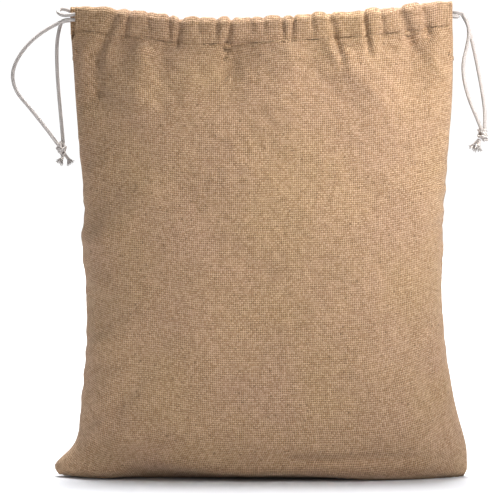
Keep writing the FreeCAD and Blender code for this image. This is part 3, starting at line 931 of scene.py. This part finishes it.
def on_cloth(side, row, column):
    """The cloth's middle surface and its outward normal at a row and column between cells."""
    grid, normals = sheets[side][0], sheet_normals[side]
    row = min(max(row, 0.0), grid.shape[0] - 1.001)
    column = min(max(column, 0.0), grid.shape[1] - 1.001)
    r, c = int(row), int(column)
    a, b = row - r, column - c

    def between(values):
        low = values[r, c] * (1 - b) + values[r, c + 1] * b
        high = values[r + 1, c] * (1 - b) + values[r + 1, c + 1] * b
        return low * (1 - a) + high * a

    normal = between(normals)
    return between(grid), normal / np.linalg.norm(normal)


def running_stitches(places, outs, pitch, length):
    """Middle lines of stitches that lie on a line of places and dive into the cloth at the ends."""
    places, outs = np.array(places), np.array(outs)
    along = np.concatenate([[0], np.cumsum(np.linalg.norm(np.diff(places, axis=0), axis=1))])
    lines = []
    start = pitch / 2
    while start + length < along[-1]:
        at = start + length * np.array([0.0, 0.12, 0.35, 0.65, 0.88, 1.0])
        lift = np.array([-0.35, 0.12, 0.28, 0.28, 0.12, -0.35])
        line = np.stack([np.interp(at, along, places[:, k]) for k in range(3)], axis=1)
        out = np.stack([np.interp(at, along, outs[:, k]) for k in range(3)], axis=1)
        lines.append((line + out * (cloth / 2 + lift)[:, None]) * mm)
        start += pitch
    return lines


def thread_piece(name, lines, node):
    piece = tube_mesh(name, lines, [thread_radius * mm] * len(lines), 6, round_ends=False)
    piece.data.materials.append(thread)
    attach(piece, "pouch")
    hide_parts(node)


sheet_normals = {side: outward_normals(sheets[side][0], side) for side in sheets}
margin = 5
for side in ("front", "back"):
    kinds = sheets[side][1]
    hem_row = int(np.argmax(kinds == 2)) - 1
    inner_row = int(np.argmax(kinds == 4)) + 13.3
    lines = []
    for row in (hem_row, inner_row):
        across = np.arange(margin + 2, margin + columns - 2, 0.5)
        found = [on_cloth(side, row, column) for column in across]
        lines += running_stitches([f[0] for f in found], [f[1] for f in found], 5.0, 3.4)
    thread_piece(side + "_hem_thread", lines, side + "_casing_stitches")

for name, column in (("left", margin + 3.2), ("right", margin + columns - 4.2)):
    lines = []
    for side in ("front", "back"):
        kinds = sheets[side][1]
        first = int(np.argmax(kinds == 2))
        last = int(np.argmax(kinds == 3))
        found = [on_cloth(side, row, column) for row in np.arange(first + 1, last, 0.5)]
        lines += running_stitches([f[0] for f in found], [f[1] for f in found], 4.6, 3.2)
    thread_piece(name + "_slit_thread", lines, name + "_slit_stitches")

edge_lines = {}
for name, column, end in (("left", margin, -1), ("right", margin + columns - 1, 1)):
    grid, kinds = sheets["front"]
    edge = grid[kinds == 1][:, column]
    edge = edge[(edge[:, 2] > 22) & (edge[:, 2] < slit_bottom - 6)]
    edge_lines[name] = edge
    lines = []
    for face in (-1, 1):
        places = np.stack([edge[:, 0] - end * 3.4, np.full(len(edge), face * 0.7), edge[:, 2]], axis=1)
        outs = np.tile([0.0, face, 0.0], (len(edge), 1))
        lines += running_stitches(places, outs, 5.6, 4.2)
    thread_piece(name + "_seam_thread", lines, name + "_seam_stitches")

grid, kinds = sheets["front"]
foot = grid[4, margin + 8:margin + columns - 8]
lines = []
for face in (-1, 1):
    places = np.stack([foot[:, 0], np.full(len(foot), face * 0.7), foot[:, 2]], axis=1)
    lines += running_stitches(places, np.tile([0.0, face, 0.0], (len(foot), 1)), 5.6, 4.2)
thread_piece("bottom_seam_thread", lines, "bottom_seam_stitches")


def whipped(edge, inward, pitch):
    """Overlock thread that goes over and over the two raw edges of a seam allowance."""
    along = np.concatenate([[0], np.cumsum(np.linalg.norm(np.diff(edge, axis=0), axis=1))])
    path = []
    at = pitch
    while at + pitch < along[-1]:
        for step, (reach, face) in enumerate(((-3.6, 1.55), (0.5, 1.0), (0.5, -1.0), (-3.6, -1.55),
                                              (0.5, -1.0), (0.5, 1.0))):
            here = np.array([np.interp(at + step * pitch / 6, along, edge[:, k]) for k in range(3)])
            path.append((here + inward * reach + np.array([0.0, face, 0.0])) * mm)
        at += pitch
    return smooth_line(path, 3)


for name, end in (("left", -1), ("right", 1)):
    edge = edge_lines[name]
    raw = np.stack([edge[:, 0] - end * 12.4, np.zeros(len(edge)), edge[:, 2]], axis=1)
    line = whipped(raw, np.array([-end, 0.0, 0.0]), 6.0)
    thread_piece(name + "_overlock_thread", [line], name + "_overlock")
raw = grid[0, margin + 14:margin + columns - 14].copy()
raw[:, 1] = 0.0
thread_piece("bottom_overlock_thread", [whipped(raw, np.array([0.0, 0.0, 1.0]), 6.0)], "bottom_overlock")

for name, end in (("left", -1), ("right", 1)):
    edge = edge_lines[name][-1]
    lines = []
    for row in range(5):
        bow = np.array([0.2, 0.75, 0.9, 0.9, 0.75, 0.2])
        y = np.array([-2.9, -2.4, -0.8, 0.8, 2.4, 2.9])
        x = edge[0] + end * bow
        lines.append(np.stack([x, y, np.full(6, slit_bottom - 5.6 + row * 0.8)], axis=1) * mm)
    thread_piece(name + "_bartack_thread", lines, name + "_bartack")
